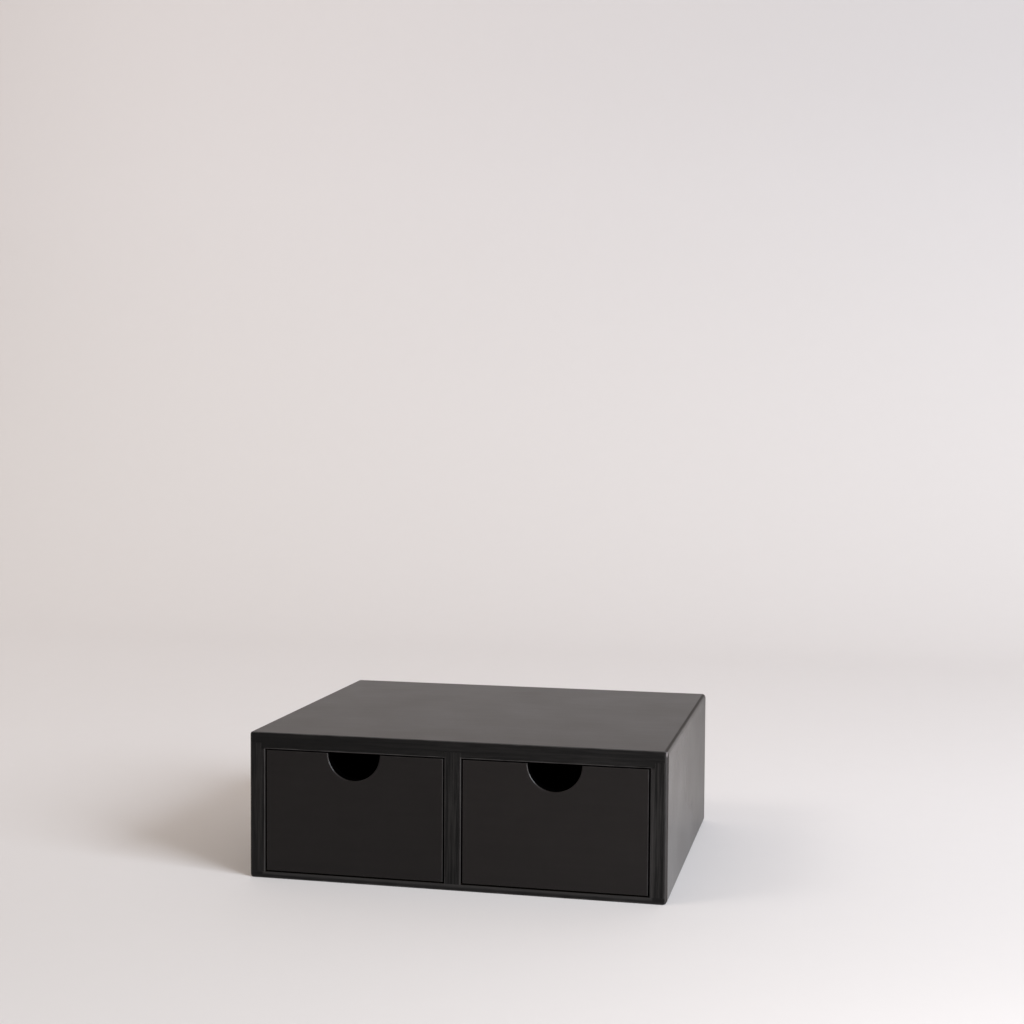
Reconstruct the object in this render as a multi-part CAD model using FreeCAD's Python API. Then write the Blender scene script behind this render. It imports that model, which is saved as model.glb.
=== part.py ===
import FreeCAD, Part
import os

# Monitor stand: a painted wooden box with two drawers side by side.
# Millimetres, +Z up, and the drawers open towards -Y.
# The origin is the centre of the footprint, on the surface that the stand rests on.

# Carcass
width = 300.0
depth = 250.0
height = 105.0
board = 12.0                      # thickness of the top, the sides and the divider
bottom_thickness = 4.5
back_thickness = 4.0
corner_round = 3.0                # outer corners, rounded after assembly
arris = 0.5                       # other edges of the carcass that show
tongue_thickness = 9.0            # outer part of a side's upper end, let into the top
joint_depth = 4.0                 # how far the sides and the divider are let into the top
back_lap = 6.0                    # how far the back panel laps over the boards that it is nailed to

# Drawers
front_thickness = 9.0
wall_thickness = 8.0              # sides and back
floor_thickness = 3.0
side_gap = 1.1                    # drawer to carcass, each side
top_gap = 0.85                    # drawer front to the top
under_gap = 1.1                   # drawer front to the bottom panel, on which the drawer's sides slide
side_drop = 4.0                   # sides end this far below the top of the front
back_drop = 6.0                   # back ends this far below the top of the sides
rabbet_depth = 4.5                # in the ends of the front, for the sides
groove_depth = 4.0                # in the front and the sides, for the drawer's bottom
groove_rise = 5.0                 # from the lower edge of the sides to the groove
groove_play = 0.2                 # groove height beyond the thickness of the drawer's bottom
groove_end_play = 0.3             # edge of the drawer's bottom to the end of its groove
notch_radius = 19.0               # half-round finger notch, centred on the front's upper edge
notch_ease = 0.7
front_ease = 0.4                  # edges of the drawer front that show

# Brads have no head. Nails have a flat one, let in flush.
brad_radius = 0.6
top_brad_length = 32.0
top_brad_sink = 1.5               # filled and painted over
drawer_brad_length = 20.0
bottom_nail = {"radius": 0.8, "length": 25.0, "head_radius": 1.8, "head_height": 0.9}
back_nail = {"radius": 0.7, "length": 18.0, "head_radius": 1.6, "head_height": 0.7}
drawer_nail = {"radius": 0.6, "length": 15.0, "head_radius": 1.3, "head_height": 0.6}
row_margin = 24.0                 # first fastener of a row along the depth to the board's end
row_count = 4
post_margin = 15.0                # first fastener of an upright row to the board's end
post_count = 3
top_row_margin = 46.0             # first nail along the back panel's upper edge to its end

# Places that follow from the sizes above
half_width = width / 2
front_y = -depth / 2
back_y = depth / 2
back_panel_y = back_y - back_thickness
top_z = height - board
joint_z = top_z + joint_depth
inner_x = half_width - board
tongue_x = half_width - tongue_thickness
back_x = inner_x + back_lap
back_high_z = top_z + back_lap
divider_x = board / 2
bay_width = inner_x - divider_x
bay_center = divider_x + bay_width / 2
half_drawer = bay_width / 2 - side_gap
half_inside = half_drawer - wall_thickness
front_low_z = bottom_thickness + under_gap
front_high_z = top_z - top_gap
front_back_y = front_y + front_thickness
side_front_y = front_back_y - rabbet_depth
side_high_z = front_high_z - side_drop
groove_z = bottom_thickness + groove_rise
groove_high_z = groove_z + floor_thickness + groove_play
floor_z = groove_z + floor_thickness
drawer_back_y = back_panel_y - wall_thickness
drawer_back_high_z = side_high_z - back_drop

up = FreeCAD.Vector(0, 0, 1)
down = FreeCAD.Vector(0, 0, -1)
forward = FreeCAD.Vector(0, -1, 0)
backward = FreeCAD.Vector(0, 1, 0)
right = FreeCAD.Vector(1, 0, 0)
left = FreeCAD.Vector(-1, 0, 0)


def block(x, y, z):
    """A block that spans three pairs of coordinates."""
    low = FreeCAD.Vector(x[0], y[0], z[0])
    return Part.makeBox(x[1] - x[0], y[1] - y[0], z[1] - z[0], low)


def mirrored(shape):
    """The same shape on the other side of the stand's middle."""
    return shape.mirror(FreeCAD.Vector(0, 0, 0), right)


def spaced(low, high, count):
    """Places from low to high, both included, with equal steps."""
    step = (high - low) / (count - 1)
    return [low + step * index for index in range(count)]


def lies_in(edge, **planes):
    """True for a straight edge that lies in the named planes, such as y=front_y."""
    tolerance = 0.001
    return isinstance(edge.Curve, Part.Line) and all(
        abs(getattr(vertex.Point, axis) - value) < tolerance
        for vertex in edge.Vertexes
        for axis, value in planes.items()
    )


def eased(shape, radius, *plane_sets):
    """Rounds the edges that lie in any of the sets of planes."""
    edges = [edge for edge in shape.Edges if any(lies_in(edge, **planes) for planes in plane_sets)]
    return shape.makeFillet(radius, edges)


def brad(start, direction, length):
    return Part.makeCylinder(brad_radius, length, start, direction)


def nail(start, direction, sizes):
    """A nail whose head is flush with the face that the start point lies on."""
    head = Part.makeCylinder(sizes["head_radius"], sizes["head_height"], start, direction)
    shank = Part.makeCylinder(sizes["radius"], sizes["length"], start, direction)
    return head.fuse(shank).removeSplitter()


def bored(shape, fasteners):
    """A board with a hole for each fastener."""
    return shape.cut(Part.makeCompound(fasteners))


def envelope():
    """The carcass's outside, which every board of it is trimmed to."""
    shape = block((-half_width, half_width), (front_y, back_y), (0, height))
    corners = []
    for x in (-half_width, half_width):
        for y in (front_y, back_y):
            corners.append({"x": x, "y": y})
        for z in (0, height):
            corners.append({"x": x, "z": z})
    shape = eased(shape, corner_round, *corners)
    sharp = [{"y": y, "z": z} for y in (front_y, back_y) for z in (0, height)]
    return eased(shape, arris, *sharp)


def divider_dado():
    return block((-divider_x, divider_x), (front_y, back_panel_y), (top_z, joint_z))


def back_recess():
    """The space of the back panel, cut from the boards round it."""
    return block((-back_x, back_x), (back_panel_y, back_y), (bottom_thickness, back_high_z))


def top_panel(outside, fasteners):
    shape = block((-half_width, half_width), (front_y, back_y), (top_z, height))
    tongue_rabbet = block((tongue_x, half_width), (front_y, back_y), (top_z, joint_z))
    for space in (tongue_rabbet, mirrored(tongue_rabbet), divider_dado(), back_recess()):
        shape = shape.cut(space)
    shape = eased(shape, arris, {"y": front_y, "z": top_z})
    return bored(shape.common(outside), fasteners)


def right_side_panel(outside, fasteners):
    shape = block((inner_x, half_width), (front_y, back_y), (bottom_thickness, top_z))
    tongue = block((tongue_x, half_width), (front_y, back_y), (top_z, joint_z))
    shape = shape.fuse(tongue).removeSplitter().cut(back_recess())
    shape = eased(shape, arris, {"x": inner_x, "y": front_y})
    return bored(shape.common(outside), fasteners)


def center_divider(fasteners):
    shape = block((-divider_x, divider_x), (front_y, back_panel_y), (bottom_thickness, joint_z))
    shape = eased(shape, arris, {"x": -divider_x, "y": front_y}, {"x": divider_x, "y": front_y})
    return bored(shape, fasteners)


def bottom_panel(outside, fasteners):
    shape = block((-half_width, half_width), (front_y, back_y), (0, bottom_thickness))
    return bored(shape.common(outside), fasteners)


def back_panel(fasteners):
    return bored(back_recess(), fasteners)


def top_brads():
    """Rows along the depth, over both sides and the divider."""
    z = height - top_brad_sink
    return [
        brad(FreeCAD.Vector(x, y, z), down, top_brad_length)
        for x in (-half_width + tongue_thickness / 2, 0, half_width - tongue_thickness / 2)
        for y in spaced(front_y + row_margin, back_panel_y - row_margin, row_count)
    ]


def bottom_nails():
    """Rows along the depth, under both sides and the divider."""
    return [
        nail(FreeCAD.Vector(x, y, 0), up, bottom_nail)
        for x in (-half_width + board / 2, 0, half_width - board / 2)
        for y in spaced(front_y + row_margin, back_panel_y - row_margin, row_count)
    ]


def back_nails():
    """Upright rows into the sides and the divider, and a row into the top."""
    places = [
        (x, z)
        for x in (-back_x + back_lap / 2, 0, back_x - back_lap / 2)
        for z in spaced(bottom_thickness + post_margin, top_z - post_margin, post_count)
    ]
    row = spaced(-back_x + top_row_margin, back_x - top_row_margin, row_count)
    places += [(x, top_z + back_lap / 2) for x in row]
    return [nail(FreeCAD.Vector(x, back_y, z), forward, back_nail) for x, z in places]


def drawer_front(fasteners):
    """The front with its notch, its end rabbets and its groove."""
    x = (-half_drawer, half_drawer)
    shape = block(x, (front_y, front_back_y), (front_low_z, front_high_z))
    notch_start = FreeCAD.Vector(0, front_y, front_high_z)
    shape = shape.cut(Part.makeCylinder(notch_radius, front_thickness, notch_start, backward))
    arcs = [edge for edge in shape.Edges if isinstance(edge.Curve, Part.Circle)]
    shape = shape.makeFillet(notch_ease, arcs)
    outline = [{"y": front_y, "x": end} for end in x] + [{"y": front_y, "z": front_low_z}]
    shape = eased(shape, front_ease, *outline)
    rabbet = block((half_inside, half_drawer), (side_front_y, front_back_y), (front_low_z, front_high_z))
    groove = block(x, (front_back_y - groove_depth, front_back_y), (groove_z, groove_high_z))
    for space in (rabbet, mirrored(rabbet), groove):
        shape = shape.cut(space)
    return bored(shape, fasteners)


def drawer_right_side(fasteners):
    shape = block((half_inside, half_drawer), (side_front_y, back_panel_y), (bottom_thickness, side_high_z))
    groove_x = (half_inside, half_inside + groove_depth)
    groove = block(groove_x, (side_front_y, back_panel_y), (groove_z, groove_high_z))
    return bored(shape.cut(groove), fasteners)


def drawer_back(fasteners):
    shape = block((-half_inside, half_inside), (drawer_back_y, back_panel_y), (floor_z, drawer_back_high_z))
    return bored(shape, fasteners)


def drawer_bottom(fasteners):
    reach = groove_depth - groove_end_play
    x = (-half_inside - reach, half_inside + reach)
    shape = block(x, (front_back_y - reach, back_panel_y), (groove_z, floor_z))
    return bored(shape, fasteners)


def drawer_brads():
    """Upright rows through both sides, into the front and into the back."""
    front_row = [
        (front_back_y - rabbet_depth / 2, z)
        for z in spaced(groove_high_z + post_margin, side_high_z - post_margin, post_count)
    ]
    back_row = [
        (back_panel_y - wall_thickness / 2, z)
        for z in spaced(floor_z + post_margin, drawer_back_high_z - post_margin, post_count)
    ]
    return [
        brad(FreeCAD.Vector(x, y, z), inward, drawer_brad_length)
        for x, inward in ((-half_drawer, right), (half_drawer, left))
        for y, z in front_row + back_row
    ]


def drawer_nails():
    """A row up through the drawer's bottom into its back."""
    reach = half_inside - post_margin
    y = back_panel_y - wall_thickness / 2
    return [
        nail(FreeCAD.Vector(x, y, groove_z), up, drawer_nail)
        for x in spaced(-reach, reach, post_count)
    ]


def carcass():
    """The boards that stand still and what fastens them, by name."""
    outside = envelope()
    brads = top_brads()
    low_nails = bottom_nails()
    rear_nails = back_nails()
    fasteners = brads + low_nails + rear_nails
    right_side = right_side_panel(outside, fasteners)
    return {
        "top_panel": top_panel(outside, fasteners),
        "left_side_panel": mirrored(right_side),
        "right_side_panel": right_side,
        "center_divider": center_divider(fasteners),
        "bottom_panel": bottom_panel(outside, low_nails),
        "back_panel": back_panel(rear_nails),
        "top_brads": Part.makeCompound(brads),
        "bottom_nails": Part.makeCompound(low_nails),
        "back_nails": Part.makeCompound(rear_nails),
    }


def drawer():
    """One drawer, centred on x = 0, by name."""
    brads = drawer_brads()
    nails = drawer_nails()
    right_wall = drawer_right_side(brads)
    return {
        "front": drawer_front(brads),
        "left_side": mirrored(right_wall),
        "right_side": right_wall,
        "back": drawer_back(brads + nails),
        "bottom": drawer_bottom(nails),
        "brads": Part.makeCompound(brads),
        "bottom_nails": Part.makeCompound(nails),
    }


def stand():
    """Every piece of the stand, by name."""
    pieces = carcass()
    for side, center in (("left", -bay_center), ("right", bay_center)):
        for name, shape in drawer().items():
            pieces[f"{side}_drawer_{name}"] = shape.translated(FreeCAD.Vector(center, 0, 0))
    return pieces


os.makedirs("parts", exist_ok=True)
for name, shape in stand().items():
    shape.exportStep(f"parts/{name}.step")
    print(name, "solids", len(shape.Solids), "volume", round(shape.Volume, 1), "valid", shape.isValid())
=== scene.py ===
import bpy
import math
from mathutils import Euler, Matrix, Vector


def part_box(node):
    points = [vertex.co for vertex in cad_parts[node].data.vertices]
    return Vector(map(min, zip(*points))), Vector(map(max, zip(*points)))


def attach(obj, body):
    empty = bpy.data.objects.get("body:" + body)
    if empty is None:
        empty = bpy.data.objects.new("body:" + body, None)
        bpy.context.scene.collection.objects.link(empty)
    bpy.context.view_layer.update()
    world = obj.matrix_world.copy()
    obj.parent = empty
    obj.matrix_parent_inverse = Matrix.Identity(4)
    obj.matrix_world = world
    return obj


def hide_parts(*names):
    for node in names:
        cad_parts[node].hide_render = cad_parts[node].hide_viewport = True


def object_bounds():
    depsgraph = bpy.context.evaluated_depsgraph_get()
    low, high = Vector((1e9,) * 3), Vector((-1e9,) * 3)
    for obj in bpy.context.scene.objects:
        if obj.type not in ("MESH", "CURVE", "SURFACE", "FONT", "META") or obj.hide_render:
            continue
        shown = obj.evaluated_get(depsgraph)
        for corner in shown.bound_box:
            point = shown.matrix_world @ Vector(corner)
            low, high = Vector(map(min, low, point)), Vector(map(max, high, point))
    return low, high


# Monitor stand: a black painted wooden box with two drawers side by side.
# Metres, +Z up. The drawers open towards -Y, and the stand rests on z = 0.

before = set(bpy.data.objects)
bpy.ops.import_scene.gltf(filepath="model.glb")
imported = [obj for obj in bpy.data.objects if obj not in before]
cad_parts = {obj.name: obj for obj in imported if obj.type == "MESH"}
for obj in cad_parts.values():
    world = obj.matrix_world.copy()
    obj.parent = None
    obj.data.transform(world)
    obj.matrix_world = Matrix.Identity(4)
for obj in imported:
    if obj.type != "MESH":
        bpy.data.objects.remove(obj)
cadLow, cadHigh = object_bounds()
print("frame loaded:", len(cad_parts), "nodes")


# Camera

camera = {
    "place": (0.2810, -1.2029, 0.3180),
    "turn": 12.551,      # to the left of +Y, in degrees
    "tilt": 2.763,       # below the horizon
    "roll": 0.355,
    "lens": 56.91,
    "clipEnd": 100,
}


def makeCamera():
    data = bpy.data.cameras.new("camera")
    data.lens = camera["lens"]
    data.clip_end = camera["clipEnd"]
    holder = bpy.data.objects.new("camera", data)
    bpy.context.scene.collection.objects.link(holder)
    holder.location = camera["place"]
    aim = Euler((math.radians(90 - camera["tilt"]), 0, math.radians(camera["turn"]))).to_matrix()
    roll = Matrix.Rotation(math.radians(camera["roll"]), 3, "Z")
    holder.rotation_euler = (aim @ roll).to_euler()
    bpy.context.scene.camera = holder


makeCamera()
print("camera made")


# Modelling by hand: blocks and rods, cut, trimmed and eased

tolerance = 0.00001
mergeDistance = 0.000001
spare = 0.002       # how far a cut reaches past the board, and a board past the shape it is trimmed to
smoothAngle = 40    # in degrees; faces that meet at less than this are shaded as one


def focus(piece):
    if bpy.context.mode != "OBJECT":
        bpy.ops.object.mode_set(mode="OBJECT")
    bpy.ops.object.select_all(action="DESELECT")
    piece.select_set(True)
    bpy.context.view_layer.objects.active = piece


def addBlock(name, low, high):
    bpy.ops.object.select_all(action="DESELECT")
    low = Vector(low)
    high = Vector(high)
    bpy.ops.mesh.primitive_cube_add(size=1, location=(low + high) / 2, scale=high - low)
    bpy.ops.object.transform_apply(location=True, rotation=True, scale=True)
    bpy.context.object.name = name
    return bpy.context.object


def addRod(name, radius, start, end, sides):
    bpy.ops.object.select_all(action="DESELECT")
    start = Vector(start)
    end = Vector(end)
    bpy.ops.mesh.primitive_cylinder_add(
        vertices=sides,
        radius=radius,
        depth=(end - start).length,
        location=(start + end) / 2,
        rotation=(end - start).to_track_quat("Z", "Y").to_euler(),
    )
    bpy.ops.object.transform_apply(location=True, rotation=True, scale=True)
    bpy.context.object.name = name
    return bpy.context.object


def applyNewest(piece):
    bpy.ops.object.modifier_apply(modifier=piece.modifiers[-1].name)


def combine(piece, tool, operation):
    focus(piece)
    bpy.ops.object.modifier_add(type="BOOLEAN")
    change = piece.modifiers[-1]
    change.operation = operation
    change.solver = "EXACT"
    change.object = tool
    applyNewest(piece)


def cut(piece, *tools):
    for tool in tools:
        combine(piece, tool, "DIFFERENCE")
        bpy.data.objects.remove(tool)


def liesIn(point, place):
    # a place gives a plane or a range along some of the axes, such as {"y": 0.1, "z": (0, 0.2)}
    for axis, value in place.items():
        low, high = value if isinstance(value, tuple) else (value, value)
        if not low - tolerance <= getattr(point, axis) <= high + tolerance:
            return False
    return True


def pick(piece, kind, *places):
    # selects the edges or faces that lie wholly in one of the places, and stays in edit mode
    focus(piece)
    bpy.ops.object.mode_set(mode="EDIT")
    bpy.ops.mesh.select_mode(type=kind)
    bpy.ops.mesh.select_all(action="DESELECT")
    bpy.ops.object.mode_set(mode="OBJECT")
    corners = piece.data.vertices
    for part in piece.data.edges if kind == "EDGE" else piece.data.polygons:
        points = [corners[index].co for index in part.vertices]
        part.select = any(all(liesIn(point, place) for point in points) for place in places)
    bpy.ops.object.mode_set(mode="EDIT")


def ease(piece, bevel, *places):
    # a bevel is given as its width and its number of steps
    width, steps = bevel
    pick(piece, "EDGE", *places)
    bpy.ops.mesh.bevel(offset=width, segments=steps, affect="EDGES")
    bpy.ops.object.mode_set(mode="OBJECT")


def complete(piece, material, node, body):
    focus(piece)
    bpy.ops.object.mode_set(mode="EDIT")
    bpy.ops.mesh.select_all(action="SELECT")
    bpy.ops.mesh.remove_doubles(threshold=mergeDistance)
    bpy.ops.mesh.normals_make_consistent(inside=False)
    bpy.ops.object.mode_set(mode="OBJECT")
    bpy.ops.object.shade_smooth_by_angle(angle=math.radians(smoothAngle))
    bpy.ops.object.modifier_add(type="WEIGHTED_NORMAL")
    piece.modifiers[-1].keep_sharp = True
    applyNewest(piece)
    piece.data.materials.append(material)
    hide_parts(node)
    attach(piece, body)


# Materials: maths on a socket is written as a plain expression

seedStep = (3.7, 5.9, 8.3)    # shift of the noise along x, y and z from one seed to the next


class Wire:
    def __init__(self, socket):
        self.socket = socket

    def math(self, operation, *values):
        node = self.socket.id_data.nodes.new("ShaderNodeMath")
        node.operation = operation
        for value, slot in zip(values, node.inputs):
            join(value, slot)
        return Wire(node.outputs[0])

    def __add__(self, other):
        return self.math("ADD", self, other)

    def __sub__(self, other):
        return self.math("SUBTRACT", self, other)

    def __rsub__(self, other):
        return self.math("SUBTRACT", other, self)

    def __mul__(self, other):
        return self.math("MULTIPLY", self, other)

    def __truediv__(self, other):
        return self.math("DIVIDE", self, other)

    __radd__ = __add__
    __rmul__ = __mul__

    def lower(self, other):
        return self.math("MINIMUM", self, other)

    def higher(self, other):
        return self.math("MAXIMUM", self, other)

    def sine(self):
        return self.math("SINE", self)

    def root(self):
        return self.math("SQRT", self)

    def size(self):
        return self.math("ABSOLUTE", self)


def join(value, slot):
    if isinstance(value, Wire):
        slot.id_data.links.new(value.socket, slot)
    else:
        slot.default_value = value


class Finish:
    def __init__(self, name, constants):
        self.material = bpy.data.materials.new(name)
        self.material.use_nodes = True
        self.tree = self.material.node_tree
        self.shader = self.tree.nodes["Principled BSDF"]
        for socket, value in constants.items():
            self.shader.inputs[socket].default_value = value
        self.place = self.wire("TexCoord", "Object", {}, {})
        split = self.add("SeparateXYZ", {}, {"Vector": self.place})
        self.axes = {axis: Wire(split.outputs[axis.upper()]) for axis in "xyz"}

    def add(self, kind, settings, inputs):
        node = self.tree.nodes.new("ShaderNode" + kind)
        for name, value in settings.items():
            setattr(node, name, value)
        for name, value in inputs.items():
            join(value, node.inputs[name])
        return node

    def wire(self, kind, output, settings, inputs):
        return Wire(self.add(kind, settings, inputs).outputs[output])

    def noise(self, size, detail, seed):
        # size is that of one blotch, the same all ways or along x, y and z
        sizes = size if isinstance(size, (list, tuple)) else [size] * 3
        scale = [1 / length for length in sizes]
        shift = [seed * step for step in seedStep]
        inputs = {0: self.place, 1: scale, 2: shift}
        place = self.wire("VectorMath", 0, {"operation": "MULTIPLY_ADD"}, inputs)
        return self.wire("TexNoise", 0, {}, {"Vector": place, "Scale": 1, "Detail": detail})

    def smooth(self, value, low, high):
        # 0 up to low, 1 from high on
        settings = {"interpolation_type": "SMOOTHSTEP"}
        inputs = {"Value": value, "From Min": low, "From Max": high}
        return self.wire("MapRange", 0, settings, inputs)

    def edgeStrip(self, distance, width):
        # a strip along an edge, for rubbed paint and for painted highlights: at full strength over the
        # first third of its width, then fading out
        return 1 - self.smooth(distance, width / 3, width)

    def mix(self, factor, first, second):
        first, second = ((*color, 1) if isinstance(color, tuple) else color for color in (first, second))
        return self.wire("Mix", 2, {"data_type": "RGBA"}, {0: factor, 6: first, 7: second})

    def edgeDistance(self, low, high):
        # how far a point on a box lies from the box's nearest edge: the middle one of its
        # distances to the nearest planes across x, y and z
        a, b, c = (
            (self.axes[axis] - low[index]).lower(high[index] - self.axes[axis])
            for index, axis in enumerate("xyz")
        )
        return a.lower(b).higher(a.higher(b).lower(c))

    def lineDistance(self, line):
        # how far a point lies from an edge, measured along the planes that meet in it: the
        # line gives the two planes and the range that the edge spans
        reach = 0
        for axis, value in line.items():
            low, high = value if isinstance(value, tuple) else (value, value)
            reach = (low - self.axes[axis]).higher(self.axes[axis] - high).higher(reach)
        return reach

    def spot(self, place, sizes):
        # 0 in the middle of a spot, and 1 on its outline
        total = 0
        for axis, middle, size in zip("xyz", place, sizes):
            away = (self.axes[axis] - middle) / size
            total = away * away + total
        return total.root()

    def radius(self, x, z):
        # distance from an axis along y
        across = self.axes["x"] - x
        up = self.axes["z"] - z
        return (across * across + up * up).root()

    def relief(self, height):
        # height in metres
        return self.wire("Bump", 0, {}, {"Height": height, "Distance": 1})

    def paint(self, color, roughness, height, coat=0):
        join(color, self.shader.inputs["Base Color"])
        join(coat, self.shader.inputs["Coat Weight"])
        join(roughness, self.shader.inputs["Roughness"])
        join(self.relief(height), self.shader.inputs["Normal"])
        return self.material


boardPaint = {
    "dark": (0.0010, 0.0009, 0.0009),      # front edges
    "light": (0.0160, 0.0150, 0.0146),
    # painted shade: the colour that the front edges darken towards
    "paintedShade": (0.0002, 0.0002, 0.0002),
    "faceDark": (0.0030, 0.0022, 0.0016),  # faces, where brown wood shines through
    "faceLight": (0.0235, 0.0180, 0.0135),
    "rubbedAndHighlit": (0.0430, 0.0405, 0.0400),    # edges, where the paint is thin, and painted highlights on arrises that face the light
    "rubbedAndHighlitShare": 0.85,
    "ior": 1.27,
    "grainLength": 0.045,
    "grainWidth": 0.0014,
    "finer": 3,                            # the fine grain is this much smaller than the coarse
    "cloudSize": 0.05,
    "streaks": (3.0, 2.2, 0.6, 0.3),       # how much coarse and fine grain, clouds and plies show
    "edgeShift": 0.36,                     # towards the light colour
    "faceShift": 0.15,                     # and more so on the faces
    "faceContrast": 0.35,                  # of the grain, away from the front edge
    "plyPitch": 0.0034,                    # a light and a dark ply
    "plyShare": 0.4,
    "plyBend": (5, 2),                     # how the coarse grain and the clouds bend the plies
    "grainHeight": 0.000012,
    "fineHeight": 0.5,                     # that of the fine grain beside the coarse
    "plyHeight": 0.000020,
    "peelSize": 0.0011,
    "peelHeight": 0.0000025,
    "frontDepth": (0.0004, 0.0012),        # where the front edge's look passes into the faces'
    "sideDepth": (0.0005, 0.0015),         # and that of the outer sides
    "roughness": 0.355,
    "sideRoughness": (0.25, 0.45, 0.4),    # of the outer sides, and its slopes along y and z
    "dull": 0.22,                          # added where the top rounds off to the sides
    "dullWidth": (0.0022, 0.0032),
    "dullHeight": (0.0030, 0.0020),        # below the top
    "uneven": 0.08,                        # of the roughness, with the grain and the clouds
    "polish": 0.04,                        # lighter edges are less rough
    "wanderSize": 0.012,                   # how the lighter edges vary in width
    "wander": 0.0010,
    "stripWidth": 0.0010,
    "lineDepth": (0.0001, 0.0003),          # of the lighter lines round the bays: rubbed paint and painted highlights
    "cornerWidth": (0.0012, 0.0020),       # right front corner, which is rubbed most and painted lighter as a highlight where it faces the light
    "cornerReach": (-0.1, 0.1),            # along x
    "cornerShare": 0.8,
    "cornerHighlight": (0.170, 0.155, 0.158),         # painted highlight: a pale spot where the rounded corner catches the light
    "cornerHighlightSize": (0.0011, 0.0011, 0.0026),
    "cornerHighlightCore": 0.3,                       # share of its size over which it is at full strength
    "coat": 0.3,                           # lighter edges are polished
    "coatRoughness": 0.3,
}


def paintBoard(name, grain, paintedShading, seed, edgeLines=(), cornerHighlight=None):
    # grain is the axis that the fibres lie along. The third argument gives the tone of the front edge
    # and its
    # slope along x: painted shade and light; below a tone of 1 the edge is painted darker, above it
    # lighter, and the slope makes it lighter towards the right, where the light comes from.
    # The edge lines are front edges drawn lighter, partly rubbed paint and partly painted highlights on
    # arrises that face the light, each with its width and strength. The last argument is the place of a
    # pale spot painted as a highlight on the corner
    look = boardPaint
    finish = Finish(name, {"IOR": look["ior"], "Coat Roughness": look["coatRoughness"]})
    x, y, z = (finish.axes[axis] for axis in "xyz")
    grainSize = [look["grainLength"] if axis == grain else look["grainWidth"] for axis in "xyz"]
    fineSize = [size / look["finer"] for size in grainSize]
    coarse = finish.noise(grainSize, detail=3, seed=seed) - 0.5
    fine = finish.noise(fineSize, detail=2, seed=seed + 1) - 0.5
    clouds = finish.noise(look["cloudSize"], detail=2, seed=seed + 2) - 0.5
    peel = finish.noise(look["peelSize"], detail=1, seed=seed + 3)
    wander = (finish.noise(look["wanderSize"], detail=2, seed=seed + 4) - 0.5) * look["wander"]

    depth = y - cadLow.y
    inward = cadHigh.x - x.size()
    onFront = 1 - finish.smooth(depth, *look["frontDepth"])
    onSide = 1 - finish.smooth(inward, *look["sideDepth"])
    acrossPlies = z if grain == "x" else x
    bendCoarse, bendClouds = look["plyBend"]
    bend = coarse * bendCoarse + clouds * bendClouds
    plies = (acrossPlies * (2 * math.pi / look["plyPitch"]) + bend).sine() * onFront * look["plyShare"]
    contrast = onFront * (1 - look["faceContrast"]) + look["faceContrast"]
    coarseShare, fineShare, cloudShare, plyShare = look["streaks"]
    streaks = (coarse * coarseShare + fine * fineShare) * contrast
    streaks = streaks + clouds * cloudShare + plies * plyShare + look["edgeShift"]
    tone, slope = paintedShading
    paintedLight = x * slope + (tone - 1)    # painted light above 0, where the edge gets lighter, and painted shade below 0, where it gets darker

    # lighter edges: rubbed paint along the carcass's outer edges, and painted highlights on the right
    # front corner and on the arrises round the bays, most where they face the light
    rubbedAndHighlit = finish.edgeStrip(finish.edgeDistance(cadLow, cadHigh) - wander, look["stripWidth"])
    corner = 1 - finish.smooth(depth.higher(inward) - wander, *look["cornerWidth"])
    corner = corner * finish.smooth(x, *look["cornerReach"]) * look["cornerShare"]
    rubbedAndHighlit = rubbedAndHighlit.higher(corner)
    onFace = 1 - finish.smooth(depth, *look["lineDepth"])
    for line, width, strength in edgeLines:
        strip = finish.edgeStrip(finish.lineDistance(line) - wander, width)
        rubbedAndHighlit = rubbedAndHighlit.higher(strip * onFace * strength)

    # painted light and shade on the front edges, from the tone and its slope along x
    edge = finish.mix(streaks + paintedLight.higher(0), look["dark"], look["light"])
    edge = finish.mix(0 - paintedLight, edge, look["paintedShade"])
    face = finish.mix(streaks + look["faceShift"], look["faceDark"], look["faceLight"])
    color = finish.mix(onFront, face, edge)
    color = finish.mix(rubbedAndHighlit * look["rubbedAndHighlitShare"], color, look["rubbedAndHighlit"])
    # painted highlight: a pale spot where the right front corner catches the light
    if cornerHighlight:
        highlighted = 1 - finish.smooth(finish.spot(cornerHighlight, look["cornerHighlightSize"]), look["cornerHighlightCore"], 1)
        color = finish.mix(highlighted, color, look["cornerHighlight"])

    height = (coarse + fine * look["fineHeight"]) * look["grainHeight"]
    height = height + plies * look["plyHeight"] + peel * look["peelHeight"]
    level = look["roughness"]
    middle, alongY, alongZ = look["sideRoughness"]
    roughness = (y * alongY + z * alongZ + (middle - level)) * onSide + level
    onRound = 1 - finish.smooth(inward, *look["dullWidth"])
    nearTop = finish.smooth(z, *[cadHigh.z - below for below in look["dullHeight"]])
    roughness = roughness + onRound * nearTop * (1 - onSide) * look["dull"]
    roughness = roughness + (coarse + clouds) * look["uneven"] - rubbedAndHighlit * look["polish"]
    return finish.paint(color, roughness, height, rubbedAndHighlit * look["coat"])


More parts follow.
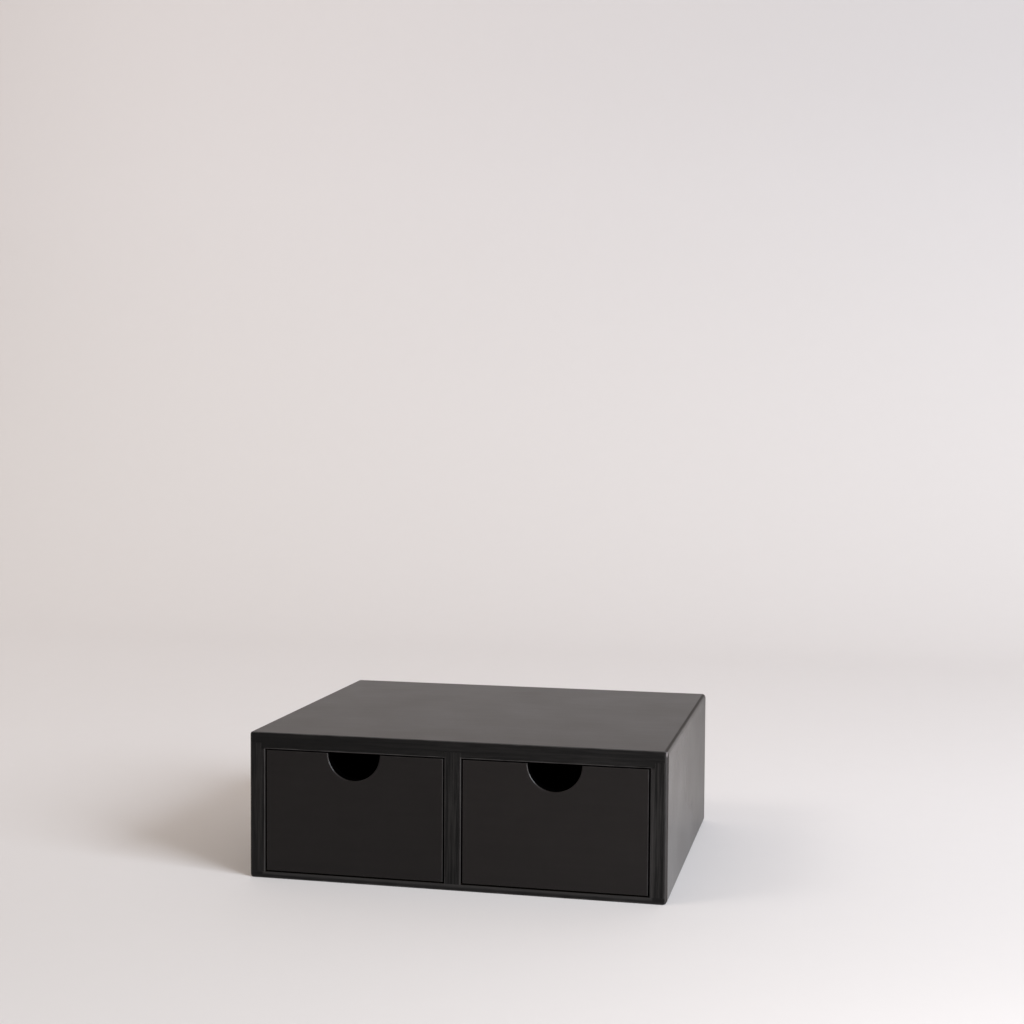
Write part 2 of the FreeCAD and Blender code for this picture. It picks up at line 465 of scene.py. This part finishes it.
frontPaint = {
    "dark": (0.0054, 0.0044, 0.0042),
    "light": (0.0094, 0.0079, 0.0075),
    "shadeBehind": (0.0006, 0.0006, 0.0006),    # painted shade: near black behind the front face, in the notch and the gaps
    # edges, where the paint is thin, and a painted highlight where they face the light
    "rubbedAndHighlit": (0.0300, 0.0285, 0.0280),
    "ior": 1.27,
    "roughness": 0.40,
    "uneven": 0.08,                        # of the roughness, with the clouds
    "grainSize": (0.060, 0.004, 0.004),
    "grainHeight": 0.000005,
    "cloudSize": 0.03,
    "peelSize": 0.0010,
    "peelHeight": 0.000003,
    "wanderSize": 0.010,                   # how the lighter edges vary in width
    "wander": 0.0010,
    "stripWidth": 0.0007,
    "rubShare": 0.3,                       # of all the edges, in places
    "rightHighlight": 0.7,                     # painted highlight all along the right edge, which faces the light
    "rightHighlightWidth": (0.0020, 0.0005),
    "rimWidth": (0.0008, 0.00104),         # in front, and its fading out
    "rimSide": (-0.012, -0.002),           # the rim is polished on the left of its middle
    "rimCoat": 1,
    "behind": 0.25,                        # less rough behind the rim
    "coatRoughness": 0.1,
    "coatIor": 1.36,
}


def paintFront(name, node, tone, seed, rim=None):
    # rim gives the x, z and radius of a notch whose rim is polished
    low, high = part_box(node)
    look = frontPaint
    constants = {
        "IOR": look["ior"],
        "Coat Roughness": look["coatRoughness"],
        "Coat IOR": look["coatIor"],
    }
    finish = Finish(name, constants)
    coarse = finish.noise(look["grainSize"], detail=3, seed=seed)
    clouds = finish.noise(look["cloudSize"], detail=2, seed=seed + 1)
    peel = finish.noise(look["peelSize"], detail=2, seed=seed + 2)
    wander = finish.noise(look["wanderSize"], detail=2, seed=seed + 3)

    # lighter edges: rubbed paint in places along all edges, and a painted highlight all along the right
    # edge, which faces the light
    reach = finish.edgeDistance(low, high) - (wander - 0.5) * look["wander"]
    onRightHighlight = finish.smooth(finish.axes["x"], *[high.x - width for width in look["rightHighlightWidth"]])
    share = wander * look["rubShare"] + onRightHighlight * look["rightHighlight"]
    rubbedAndHighlit = finish.edgeStrip(reach, look["stripWidth"]) * share
    # the tone paints a whole front lighter or darker
    dark, light = (tuple(value * tone for value in look[end]) for end in ("dark", "light"))
    coat = finish.mix((coarse + clouds) * 0.5, dark, light)
    color = finish.mix(rubbedAndHighlit, coat, look["rubbedAndHighlit"])
    roughness = look["roughness"] + (clouds - 0.5) * look["uneven"]
    height = peel * look["peelHeight"] + coarse * look["grainHeight"]
    if not rim:
        return finish.paint(color, roughness, height)

    x, z, radius = rim
    depth = finish.axes["y"] - low.y
    nearRim = (finish.radius(x, z) - radius).size().higher(depth)
    polished = 1 - finish.smooth(nearRim, *look["rimWidth"])
    polished = polished * (1 - finish.smooth(finish.axes["x"] - x, *look["rimSide"]))
    # painted shade: everything behind the front face, in the notch and the gaps, is painted near black
    behind = finish.smooth(depth, *look["rimWidth"])
    color = finish.mix(behind, color, look["shadeBehind"])
    roughness = roughness - behind * look["behind"]
    return finish.paint(color, roughness, height, polished * look["rimCoat"])


boxStain = {
    "dark": (0.0040, 0.0036, 0.0033),
    "light": (0.0230, 0.0205, 0.0185),
    "shares": (0.9, 0.5, 0.5),             # how much grain, clouds and open pores show
    "shift": 0.2,                          # towards the dark colour
    "ior": 1.3,
    "roughness": 0.55,
    "uneven": 0.2,                         # of the roughness, with the grain
    "grainLength": 0.080,
    "grainWidth": 0.0024,
    "grainHeight": 0.00003,
    "finer": 6,                            # pores are this much smaller than the grain
    "openPores": (0.55, 0.75),
    "cloudSize": 0.04,
}


def stainBoard(name, grain, seed):
    look = boxStain
    finish = Finish(name, {"IOR": look["ior"]})
    grainSize = [look["grainLength"] if axis == grain else look["grainWidth"] for axis in "xyz"]
    poreSize = [size / look["finer"] for size in grainSize]
    coarse = finish.noise(grainSize, detail=4, seed=seed)
    pores = finish.smooth(finish.noise(poreSize, detail=2, seed=seed + 1), *look["openPores"])
    clouds = finish.noise(look["cloudSize"], detail=2, seed=seed + 2)
    grainShare, cloudShare, poreShare = look["shares"]
    tone = coarse * grainShare + clouds * cloudShare - pores * poreShare - look["shift"]
    color = finish.mix(tone, look["dark"], look["light"])
    roughness = look["roughness"] + (coarse - 0.5) * look["uneven"]
    return finish.paint(color, roughness, (coarse - pores) * look["grainHeight"])


nailSteel = {
    "dark": (0.035, 0.033, 0.031),
    "bright": (0.32, 0.31, 0.30),
    "metallic": 0.9,
    "roughness": 0.42,
    "polish": 0.1,                         # where the steel is bare
    "scratchSize": (0.004, 0.0004, 0.0004),
    "scratchHeight": 0.000004,
    "bare": (0.58, 0.72),
    "seed": 5,
}


def blackenSteel(name):
    look = nailSteel
    finish = Finish(name, {"Metallic": look["metallic"]})
    scratches = finish.noise(look["scratchSize"], detail=3, seed=look["seed"])
    bare = finish.smooth(scratches, *look["bare"])
    color = finish.mix(bare, look["dark"], look["bright"])
    roughness = look["roughness"] - bare * look["polish"]
    return finish.paint(color, roughness, scratches * look["scratchHeight"])


steel = blackenSteel("blackSteel")


# Nails and brads: modelled once along +Z with the head's face at z = 0, then set in rows

fasteners = {
    "sides": 12,
    "pocketSides": 16,
    "rim": (0.00015, 2),     # bevel round a nail's head
    "sunk": 0.00015,         # below the face of the board
    "play": 0.00012,         # round a head in its pocket
    "tip": 0.0016,
}
# Radii of the shank and the head, and lengths along the nail
bottomNail = {"shank": 0.0008, "length": 0.025, "head": 0.0018, "headHeight": 0.0009}
backNail = {"shank": 0.0007, "length": 0.018, "head": 0.0016, "headHeight": 0.0007}
drawerNail = {"shank": 0.0006, "length": 0.015, "head": 0.0013, "headHeight": 0.0006}
topBrad = {"shank": 0.0006, "length": 0.032, "head": 0.0006, "headHeight": 0.0006}
drawerBrad = {"shank": 0.0006, "length": 0.020, "head": 0.0006, "headHeight": 0.0006}


def spaced(low, high, count):
    return [low + (high - low) * index / (count - 1) for index in range(count)]


def makeNail(sizes):
    headEnd = sizes["headHeight"]
    piece = addRod("nail", sizes["head"], (0, 0, 0), (0, 0, headEnd), fasteners["sides"])
    if sizes["head"] > sizes["shank"]:
        ease(piece, fasteners["rim"], {"z": 0})
    pick(piece, "FACE", {"z": headEnd})
    if sizes["head"] > sizes["shank"]:
        bpy.ops.mesh.inset(thickness=sizes["head"] - sizes["shank"])
    shank = sizes["length"] - headEnd - fasteners["tip"]
    bpy.ops.mesh.extrude_region_move(TRANSFORM_OT_translate={"value": (0, 0, shank)})
    bpy.ops.mesh.extrude_region_move(TRANSFORM_OT_translate={"value": (0, 0, fasteners["tip"])})
    bpy.ops.mesh.merge(type="CENTER")
    bpy.ops.object.mode_set(mode="OBJECT")
    return piece


def copyTo(piece, place, direction):
    copy = piece.copy()
    copy.data = piece.data.copy()
    bpy.context.scene.collection.objects.link(copy)
    turn = Vector(direction).to_track_quat("Z", "Y").to_matrix().to_4x4()
    copy.data.transform(Matrix.Translation(place) @ turn)
    return copy


def joinAll(pieces, name):
    focus(pieces[0])
    for piece in pieces:
        piece.select_set(True)
    bpy.ops.object.join()
    pieces[0].name = name
    return pieces[0]


def drive(node, name, body, sizes, starts):
    # starts pairs each place on a board's face with the direction in which the nail goes
    pattern = makeNail(sizes)
    nails = []
    for place, direction in starts:
        way = Vector(direction)
        nails.append(copyTo(pattern, Vector(place) + way * fasteners["sunk"], way))
    bpy.data.objects.remove(pattern)
    complete(joinAll(nails, name), steel, node, body)


def bore(piece, sizes, starts):
    # pockets for the heads that show
    reach = sizes["head"] + fasteners["play"]
    depth = sizes["headHeight"] + fasteners["sunk"] + fasteners["play"]
    rods = []
    for place, direction in starts:
        start = Vector(place) - Vector(direction) * spare
        end = Vector(place) + Vector(direction) * depth
        rods.append(addRod("pocket", reach, start, end, fasteners["pocketSides"]))
    cut(piece, joinAll(rods, "pockets"))


# Sizes: the boards are where the frame has them

topLow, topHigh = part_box("top_panel")
sideLow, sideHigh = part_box("right_side_panel")
backLow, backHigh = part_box("back_panel")

halfWidth = topHigh.x
frontY = topLow.y
backY = topHigh.y
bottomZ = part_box("bottom_panel")[1].z
board = topHigh.z - topLow.z
undersideZ = topLow.z
jointZ = sideHigh.z
innerX = sideLow.x
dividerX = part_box("center_divider")[1].x
panelY = backLow.y

carcass = {
    "round": (0.003, 6),     # outer corners; a bevel is its width and its number of steps
    "arris": (0.0005, 3),    # front edges, outside and round the two bays
    "seam": (0.00012, 1),    # edges where two boards meet in the front
    "bottomSeam": (0.00024, 2),
    "backEase": (0.0003, 2),
    "tongue": 0.009,         # outer part of a side's upper end, let into the top
    "bradSink": 0.0015,
    "rowMargin": 0.024,      # first nail of a row along the depth to the row's end
    "rowCount": 4,
    "postMargin": 0.015,     # first nail of an upright row to the row's end
    "postCount": 3,
    "topRow": 0.098,         # outermost nails along the back panel's upper edge
}

# How the front edges look: their tone and its slope along x, painted shade and light that make them
# darker or lighter, the seeds of their streaks, and the width and strength of the lighter lines round
# the bays: rubbed paint, and painted highlights on the arrises that face the light
paintedEdgeShading = {"top": (0.36, 1.6), "side": (0.87, 1.0), "divider": (0.83, 0), "bottom": (0.6, 0)}
seeds = {"top": 1, "left": 3, "right": 4, "divider": 5, "bottom": 6, "back": 21}
rubbedAndHighlitLines = {
    "top": (0.0009, 1),
    "left": (0.0010, 1),
    "right": (0.0036, 0.3),
    "dividerLeft": (0.0009, 0.5),
    "dividerRight": (0.0011, 1),
    "bottom": (0.0028, 0.42),
}
cornerHighlightPlace = (0.0009, 0.0007, 0.0022)    # painted highlight at the upper right front corner: in from the right, the front and the top face


def makeOutside():
    # the carcass's outline, rounded at its long edges, which the top, the sides and the bottom are
    # trimmed to
    piece = addBlock("outside", (-halfWidth, frontY, 0), (halfWidth, backY, topHigh.z))
    width, steps = carcass["round"]
    share = carcass["arris"][0] / width
    weights = piece.data.attributes.new("bevel_weight_edge", "FLOAT", "EDGE")
    for edge in piece.data.edges:
        a, b = (piece.data.vertices[index].co for index in edge.vertices)
        weights.data[edge.index].value = share if abs(a.x - b.x) > tolerance else 1
    focus(piece)
    bpy.ops.object.modifier_add(type="BEVEL")
    rounding = piece.modifiers[-1]
    rounding.limit_method = "WEIGHT"
    rounding.width = width
    rounding.segments = steps
    applyNewest(piece)
    return piece


outside = makeOutside()
tongueX = halfWidth - carcass["tongue"]
lap = backHigh.x - innerX
rowY = spaced(frontY + carcass["rowMargin"], panelY - carcass["rowMargin"], carcass["rowCount"])
postZ = spaced(bottomZ + carcass["postMargin"], undersideZ - carcass["postMargin"], carcass["postCount"])
topRowX = spaced(-carcass["topRow"], carcass["topRow"], carcass["rowCount"])
bradX = halfWidth - carcass["tongue"] / 2
bradZ = topHigh.z - carcass["bradSink"]
nailX = halfWidth - board / 2
postX = backHigh.x - lap / 2
topBrads = [((x, y, bradZ), (0, 0, -1)) for x in (-bradX, 0, bradX) for y in rowY]
bottomNails = [((x, y, 0), (0, 0, 1)) for x in (-nailX, 0, nailX) for y in rowY]
backNails = [((x, backY, z), (0, -1, 0)) for x in (-postX, 0, postX) for z in postZ]
backNails += [((x, backY, undersideZ + lap / 2), (0, -1, 0)) for x in topRowX]


def backRecess():
    low = (backLow.x, backLow.y, backLow.z)
    return addBlock("recess", low, (backHigh.x, backHigh.y + spare, backHigh.z))


def makeTop():
    low = (-halfWidth - spare, frontY - spare, undersideZ)
    piece = addBlock("topPanel", low, (halfWidth + spare, backY + spare, topHigh.z + spare))
    below = undersideZ - spare
    for side in (-1, 1):
        outer = side * (halfWidth + 2 * spare)
        low = (min(outer, side * tongueX), frontY - 2 * spare, below)
        cut(piece, addBlock("rabbet", low, (max(outer, side * tongueX), backY + 2 * spare, jointZ)))
    low = (-dividerX, frontY - 2 * spare, below)
    cut(piece, addBlock("dado", low, (dividerX, panelY, jointZ)), backRecess())
    combine(piece, outside, "INTERSECT")
    front = {"y": frontY, "z": undersideZ}
    ease(piece, carcass["arris"], front)
    ease(
        piece,
        carcass["seam"],
        {"y": frontY, "z": jointZ},
        {"y": frontY, "x": -tongueX},
        {"y": frontY, "x": tongueX},
        {"y": frontY, "x": -dividerX},
        {"y": frontY, "x": dividerX},
    )
    bays = [dict(front, x=ends) for ends in ((dividerX, innerX), (-innerX, -dividerX))]
    lines = [(bay, *rubbedAndHighlitLines["top"]) for bay in bays]
    right, behind, under = cornerHighlightPlace
    cornerHighlight = (halfWidth - right, frontY + behind, topHigh.z - under)
    material = paintBoard("topPaint", "x", paintedEdgeShading["top"], seeds["top"], lines, cornerHighlight)
    complete(piece, material, "top_panel", "carcass")


def makeSide(where, side):
    # side is -1 for the left board and 1 for the right one
    def across(near, far):
        return sorted((side * near, side * far))

    name = f"{where}SidePanel"
    inner, outer = across(innerX, halfWidth + spare)
    piece = addBlock(name, (inner, frontY - spare, bottomZ), (outer, backY + spare, jointZ))
    inner, outer = across(innerX - spare, tongueX)
    low = (inner, frontY - 2 * spare, undersideZ)
    cut(piece, addBlock("shoulder", low, (outer, backY + 2 * spare, jointZ + spare)), backRecess())
    combine(piece, outside, "INTERSECT")
    ease(piece, carcass["arris"], {"y": frontY, "x": side * innerX})
    ease(
        piece,
        carcass["seam"],
        {"y": frontY, "z": undersideZ},
        {"y": frontY, "x": side * tongueX},
        {"y": frontY, "z": jointZ},
        {"y": frontY, "z": bottomZ},
    )
    arris = {"x": side * innerX, "y": frontY, "z": (bottomZ, undersideZ)}
    line = (arris, *rubbedAndHighlitLines[where])
    material = paintBoard(name + "Paint", "z", paintedEdgeShading["side"], seeds[where], [line])
    complete(piece, material, f"{where}_side_panel", "carcass")


def makeDivider():
    low = (-dividerX, frontY, bottomZ)
    piece = addBlock("centerDivider", low, (dividerX, panelY, jointZ))
    edges = [{"y": frontY, "x": x, "z": (bottomZ, jointZ)} for x in (-dividerX, dividerX)]
    ease(piece, carcass["arris"], *edges)
    ease(piece, carcass["seam"], {"y": frontY, "z": jointZ}, {"y": frontY, "z": bottomZ})
    left, right = (dict(edge, z=(bottomZ, undersideZ)) for edge in edges)
    lines = [(left, *rubbedAndHighlitLines["dividerLeft"]), (right, *rubbedAndHighlitLines["dividerRight"])]
    material = paintBoard("dividerPaint", "z", paintedEdgeShading["divider"], seeds["divider"], lines)
    complete(piece, material, "center_divider", "carcass")


def makeBottom():
    low = (-halfWidth - spare, frontY - spare, -spare)
    piece = addBlock("bottomPanel", low, (halfWidth + spare, backY + spare, bottomZ))
    combine(piece, outside, "INTERSECT")
    ease(piece, carcass["bottomSeam"], {"y": frontY, "z": bottomZ})
    bore(piece, bottomNail, bottomNails)
    arris = {"y": frontY, "z": bottomZ, "x": (-innerX, innerX)}
    line = (arris, *rubbedAndHighlitLines["bottom"])
    material = paintBoard("bottomPaint", "x", paintedEdgeShading["bottom"], seeds["bottom"], [line])
    complete(piece, material, "bottom_panel", "carcass")


def makeBack():
    piece = addBlock("backPanel", backLow, backHigh)
    edges = [{"y": backY, "x": x} for x in (backLow.x, backHigh.x)]
    edges += [{"y": backY, "z": z} for z in (backLow.z, backHigh.z)]
    ease(piece, carcass["backEase"], *edges)
    bore(piece, backNail, backNails)
    material = paintFront("backPaint", "back_panel", 1, seeds["back"])
    complete(piece, material, "back_panel", "carcass")


makeTop()
makeSide("left", -1)
makeSide("right", 1)
makeDivider()
makeBottom()
makeBack()
bpy.data.objects.remove(outside)
drive("top_brads", "topBrads", "carcass", topBrad, topBrads)
drive("bottom_nails", "bottomNails", "carcass", bottomNail, bottomNails)
drive("back_nails", "backNails", "carcass", backNail, backNails)
print("carcass made")


# Drawers

drawer = {
    "notchRadius": 0.019,
    "notchSides": 96,
    "notchEase": (0.0007, 4),
    "frontEase": (0.0004, 3),
    "edgeEase": (0.0008, 3),    # upper edges of the drawer's walls
    "floorEase": (0.0002, 1),
    "groove": 0.0032,
    "grooveDepth": 0.004,
    "rabbet": 0.0045,
    "margin": 0.015,            # first nail or brad of a row to the row's end
    "count": 3,
}


def pickRim(piece, middle, top):
    # selects the edges along the notch's arc in the front and the back face, and stays in edit mode
    focus(piece)
    bpy.ops.object.mode_set(mode="EDIT")
    bpy.ops.mesh.select_mode(type="EDGE")
    bpy.ops.mesh.select_all(action="DESELECT")
    bpy.ops.object.mode_set(mode="OBJECT")
    corners = piece.data.vertices
    longest = 0.005         # an arc's edge is far shorter than this, and a straight edge longer
    mostMissed = 0.00005    # the ends of an arc's edge lie this near to the circle
    for edge in piece.data.edges:
        first, last = (corners[index].co for index in edge.vertices)
        reaches = [math.hypot(end.x - middle, end.z - top) for end in (first, last)]
        onArc = all(abs(reach - drawer["notchRadius"]) < mostMissed for reach in reaches)
        edge.select = onArc and abs(first.y - last.y) < tolerance and (first - last).length < longest
    bpy.ops.object.mode_set(mode="EDIT")


def makeFront(side, tone, seed):
    node = f"{side}_drawer_front"
    low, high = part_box(node)
    wallLow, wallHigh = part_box(f"{side}_drawer_left_side")
    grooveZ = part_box(f"{side}_drawer_bottom")[0].z
    wall = wallHigh.x - wallLow.x
    piece = addBlock(f"{side}DrawerFront", low, high)
    middle = (low.x + high.x) / 2
    start = (middle, low.y - spare, high.z)
    end = (middle, high.y + spare, high.z)
    cut(piece, addRod("notch", drawer["notchRadius"], start, end, drawer["notchSides"]))
    pickRim(piece, middle, high.z)
    width, steps = drawer["notchEase"]
    bpy.ops.mesh.bevel(offset=width, segments=steps, affect="EDGES")
    bpy.ops.object.mode_set(mode="OBJECT")
    edges = [{"y": low.y, "x": low.x}, {"y": low.y, "x": high.x}, {"y": low.y, "z": low.z}]
    ease(piece, drawer["frontEase"], *edges)
    back = high.y - drawer["rabbet"]
    for near, far in ((low.x - spare, low.x + wall), (high.x - wall, high.x + spare)):
        rabbetLow = (near, back, low.z - spare)
        cut(piece, addBlock("rabbet", rabbetLow, (far, high.y + spare, high.z + spare)))
    grooveLow = (low.x - spare, high.y - drawer["grooveDepth"], grooveZ)
    grooveHigh = (high.x + spare, high.y + spare, grooveZ + drawer["groove"])
    cut(piece, addBlock("groove", grooveLow, grooveHigh))
    rim = (middle, high.z, drawer["notchRadius"])
    material = paintFront(f"{side}FrontPaint", node, tone, seed, rim)
    complete(piece, material, node, f"{side}_drawer")


def makeWall(name, node, body, inward, starts, groove, seed):
    # one of the drawer's sides; inward is -1 or 1 along x
    low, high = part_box(node)
    piece = addBlock(name, low, high)
    ease(piece, drawer["edgeEase"], *[{"z": high.z, "x": x} for x in (low.x, high.x)])
    inner = high.x if inward > 0 else low.x
    near, far = sorted((inner - inward * drawer["grooveDepth"], inner + inward * spare))
    grooveLow = (near, low.y - spare, groove)
    cut(piece, addBlock("groove", grooveLow, (far, high.y + spare, groove + drawer["groove"])))
    bore(piece, drawerBrad, starts)
    complete(piece, stainBoard(name + "Stain", "y", seed), node, body)


def makeBox(side, seed):
    body = f"{side}_drawer"
    name = f"{side}Drawer"
    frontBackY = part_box(f"{body}_front")[1].y
    wallLow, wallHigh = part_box(f"{body}_left_side")
    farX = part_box(f"{body}_right_side")[1].x
    rearLow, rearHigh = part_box(f"{body}_back")
    floorLow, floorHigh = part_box(f"{body}_bottom")
    margin, count = drawer["margin"], drawer["count"]
    rearY = (rearLow.y + rearHigh.y) / 2
    frontRow = spaced(floorLow.z + drawer["groove"] + margin, wallHigh.z - margin, count)
    rearRow = spaced(rearLow.z + margin, rearHigh.z - margin, count)
    places = [(frontBackY - drawer["rabbet"] / 2, z) for z in frontRow] + [(rearY, z) for z in rearRow]
    leftBrads = [((wallLow.x, y, z), (1, 0, 0)) for y, z in places]
    rightBrads = [((farX, y, z), (-1, 0, 0)) for y, z in places]
    nailsX = spaced(rearLow.x + margin, rearHigh.x - margin, count)
    nails = [((x, rearY, floorLow.z), (0, 0, 1)) for x in nailsX]
    makeWall(name + "LeftSide", f"{body}_left_side", body, 1, leftBrads, floorLow.z, seed)
    makeWall(name + "RightSide", f"{body}_right_side", body, -1, rightBrads, floorLow.z, seed + 1)

    rear = addBlock(name + "Back", rearLow, rearHigh)
    ease(rear, drawer["edgeEase"], *[{"z": rearHigh.z, "y": y} for y in (rearLow.y, rearHigh.y)])
    stain = stainBoard(name + "BackStain", "x", seed + 2)
    complete(rear, stain, f"{body}_back", body)

    floor = addBlock(name + "Bottom", floorLow, floorHigh)
    ease(floor, drawer["floorEase"], *[{"z": z, "y": floorHigh.y} for z in (floorHigh.z, floorLow.z)])
    bore(floor, drawerNail, nails)
    stain = stainBoard(name + "BottomStain", "x", seed + 3)
    complete(floor, stain, f"{body}_bottom", body)

    drive(f"{body}_brads", name + "Brads", body, drawerBrad, leftBrads + rightBrads)
    drive(f"{body}_bottom_nails", name + "Nails", body, drawerNail, nails)


# tone of each front, and its seed; the right front's higher tone is painted light, on the side the light
# comes from
for side, tone, seed in (("left", 0.93, 31), ("right", 1.15, 47)):
    makeFront(side, tone, seed)
    makeBox(side, seed + 5)
print("drawers made")


# Floor, backdrop and light

stage = {
    "width": 14,
    "front": -7,
    "back": 1.9,             # foot of the wall
    "wall": 4.5,
    "cove": (0.8, 24),       # bevel between floor and wall
    "near": (0.785, 0.775, 0.775),
    "far": (0.90, 0.89, 0.895),
    "floorBlend": (-0.45, 0.35),    # along y, from near to far: painted light, the floor lighter far off than near the stand
    "leftWall": (0.855, 0.835, 0.84),
    "rightWall": (0.725, 0.715, 0.725),
    "wallBlend": (-1.4, 1.0),       # along x, from left to right: painted light and shade, the wall lighter on the left and darker on the right
    "wallFoot": (0.1, 1.1),         # along z, from floor to wall
    "speck": (0.6, 0.6, 0.6),
    "speckShare": 0.06,
    "speckMix": (0.6, 0.4),         # of mottle and fibre
    "seed": 91,
    "mottleSize": 0.02,
    "fibreSize": 0.0012,
    "fibreHeight": 0.00002,
    "roughness": 0.8,
    "uneven": 0.1,                  # of the roughness, with the mottle
}

lights = {
    "room": (0.380, 0.316, 0.264),      # soft warm light from all round
    "backdrop": (0.64, 0.62, 0.615),    # what the camera and reflections see beyond the floor
    "window": {
        "azimuth": -28,                 # from +X, in degrees
        "elevation": 28,
        "distance": 3.0,
        "size": 1.4,
        "power": 80,
        "color": (0.93, 0.99, 1.08),
    },
    "lamp": {
        "azimuth": 216,
        "elevation": 45,
        "distance": 2.6,
        "size": 0.8,
        "power": 8,
        "color": (1.0, 0.94, 0.88),
    },
    "reflector": {
        "azimuth": -52,
        "elevation": 8,
        "distance": 0.85,
        "size": 0.30,
        "power": 1.5,
        "color": (1.0, 0.97, 0.95),
    },
    "wallLamp": {
        "azimuth": 155,
        "elevation": 38,
        "distance": 1.9,
        "size": 0.6,
        "power": 2.2,
        "color": (1.0, 0.98, 0.97),
        "aim": (-0.7, 1.9, 0.7),
    },
}


def makeStage():
    bpy.ops.object.select_all(action="DESELECT")
    middle = (0, (stage["front"] + stage["back"]) / 2, 0)
    bpy.ops.mesh.primitive_plane_add(size=1, location=middle)
    piece = bpy.context.object
    piece.name = "floor"
    piece.scale = (stage["width"], stage["back"] - stage["front"], 1)
    bpy.ops.object.transform_apply(location=True, rotation=True, scale=True)
    foot = {"y": stage["back"], "z": 0}
    pick(piece, "EDGE", foot)
    bpy.ops.mesh.extrude_edges_move(TRANSFORM_OT_translate={"value": (0, 0, stage["wall"])})
    bpy.ops.object.mode_set(mode="OBJECT")
    ease(piece, stage["cove"], foot)
    bpy.ops.object.shade_smooth()

    finish = Finish("paper", {})
    mottle = finish.noise(stage["mottleSize"], detail=3, seed=stage["seed"])
    fibre = finish.noise(stage["fibreSize"], detail=2, seed=stage["seed"] + 1)
    far = finish.smooth(finish.axes["y"], *stage["floorBlend"])
    right = finish.smooth(finish.axes["x"], *stage["wallBlend"])
    raised = finish.smooth(finish.axes["z"], *stage["wallFoot"])
    floor = finish.mix(far, stage["near"], stage["far"])
    wall = finish.mix(right, stage["leftWall"], stage["rightWall"])
    color = finish.mix(raised, floor, wall)
    mottleShare, fibreShare = stage["speckMix"]
    specks = (mottle * mottleShare + fibre * fibreShare) * stage["speckShare"]
    color = finish.mix(specks, color, stage["speck"])
    roughness = stage["roughness"] + (mottle - 0.5) * stage["uneven"]
    piece.data.materials.append(finish.paint(color, roughness, fibre * stage["fibreHeight"]))


def makeWorld():
    world = bpy.data.worlds.new("room")
    bpy.context.scene.world = world
    world.use_nodes = True
    tree = world.node_tree
    rays = tree.nodes.new("ShaderNodeLightPath")
    blend = tree.nodes.new("ShaderNodeMix")
    blend.data_type = "RGBA"
    seen = [Wire(rays.outputs[f"Is {kind} Ray"]) for kind in ("Camera", "Glossy", "Transmission")]
    join(seen[0] + seen[1] + seen[2], blend.inputs[0])
    join((*lights["room"], 1), blend.inputs[6])
    join((*lights["backdrop"], 1), blend.inputs[7])
    join(Wire(blend.outputs[2]), tree.nodes["Background"].inputs["Color"])


def makeLight(name):
    look = lights[name]
    data = bpy.data.lights.new(name, "AREA")
    data.size = look["size"]
    data.energy = look["power"]
    data.color = look["color"]
    light = bpy.data.objects.new(name, data)
    bpy.context.scene.collection.objects.link(light)
    azimuth = math.radians(look["azimuth"])
    elevation = math.radians(look["elevation"])
    level = math.cos(elevation)
    toward = Vector((level * math.cos(azimuth), level * math.sin(azimuth), math.sin(elevation)))
    light.location = toward * look["distance"]
    aim = Vector(look.get("aim", (0, 0, 0))) - light.location
    light.rotation_euler = aim.to_track_quat("-Z", "Y").to_euler()


makeStage()
makeWorld()
for name in ("window", "lamp", "reflector", "wallLamp"):
    makeLight(name)
bpy.context.scene.view_settings.view_transform = "Standard"
print("stage and lights made")
